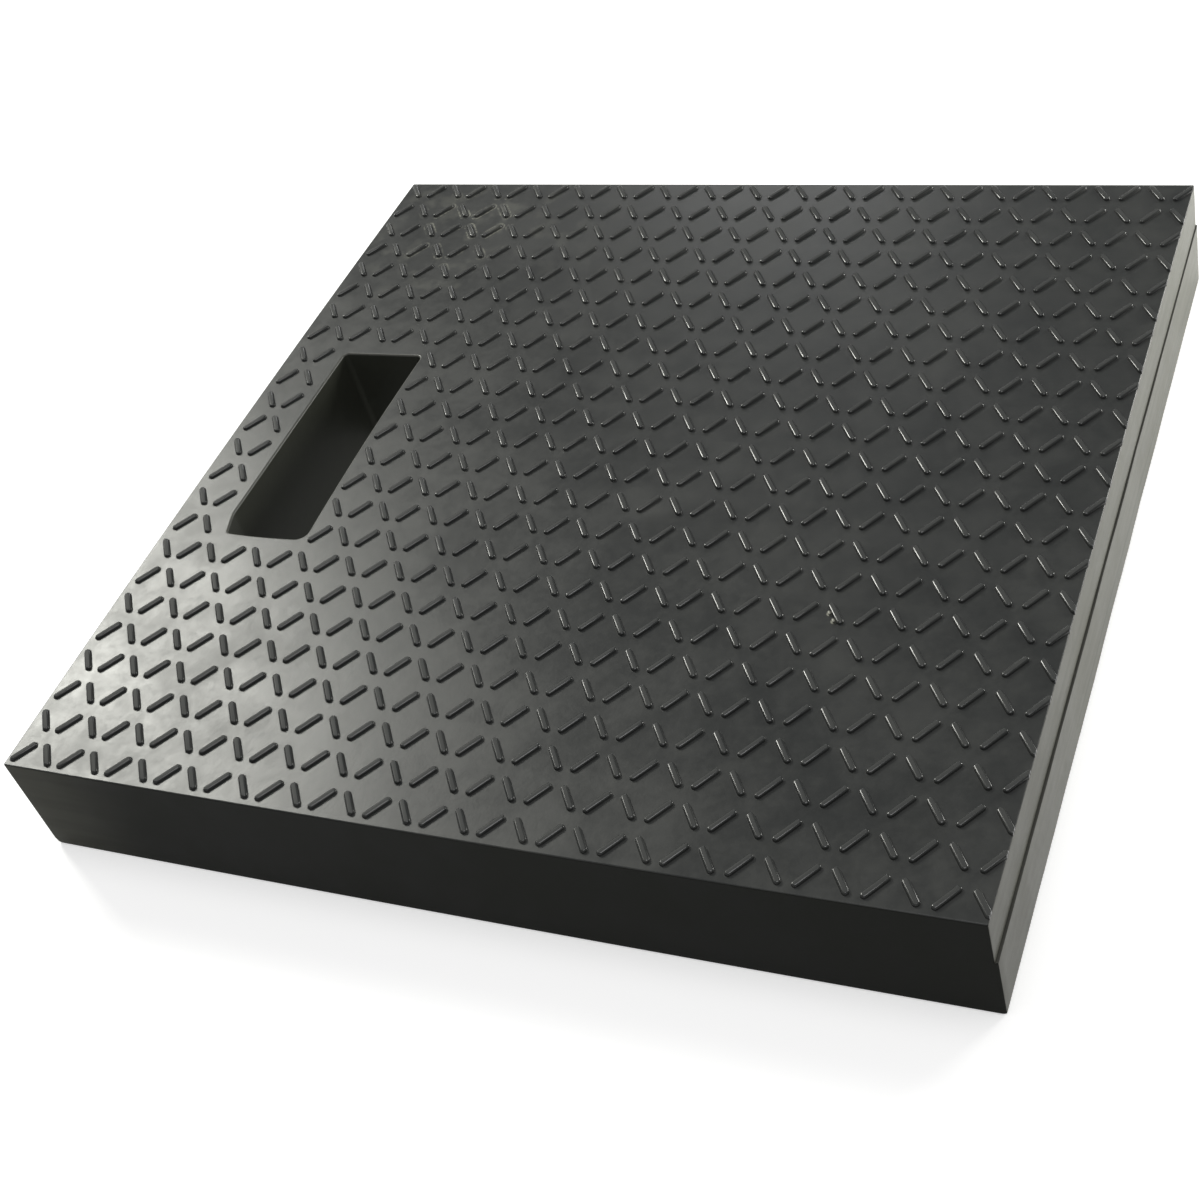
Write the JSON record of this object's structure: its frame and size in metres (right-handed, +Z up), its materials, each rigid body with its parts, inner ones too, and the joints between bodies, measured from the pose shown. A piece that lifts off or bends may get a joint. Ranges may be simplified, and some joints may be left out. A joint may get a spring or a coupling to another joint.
{
  "type": "rubber shim plate",
  "caption": "Thick square rubber pad with a barred anti-slip tread and a hand slot, laid under a load to pack, level and cushion it.",
  "frame": {"origin": "middle of the plate's underside, at the centre of its bounding box", "axes": "+Z up through the thickness to the tread; +X along the front edge, away from the hand slot; +Y to the back edge, along the hand slot"},
  "size_m": [0.4004, 0.4002, 0.0522],
  "materials": {
    "rubber": "semi-gloss moulded black rubber, with a pale bloom on the sides"
  },
  "bodies": {
    "root": {"plate": "rubber"}
  },
  "joints": []
}
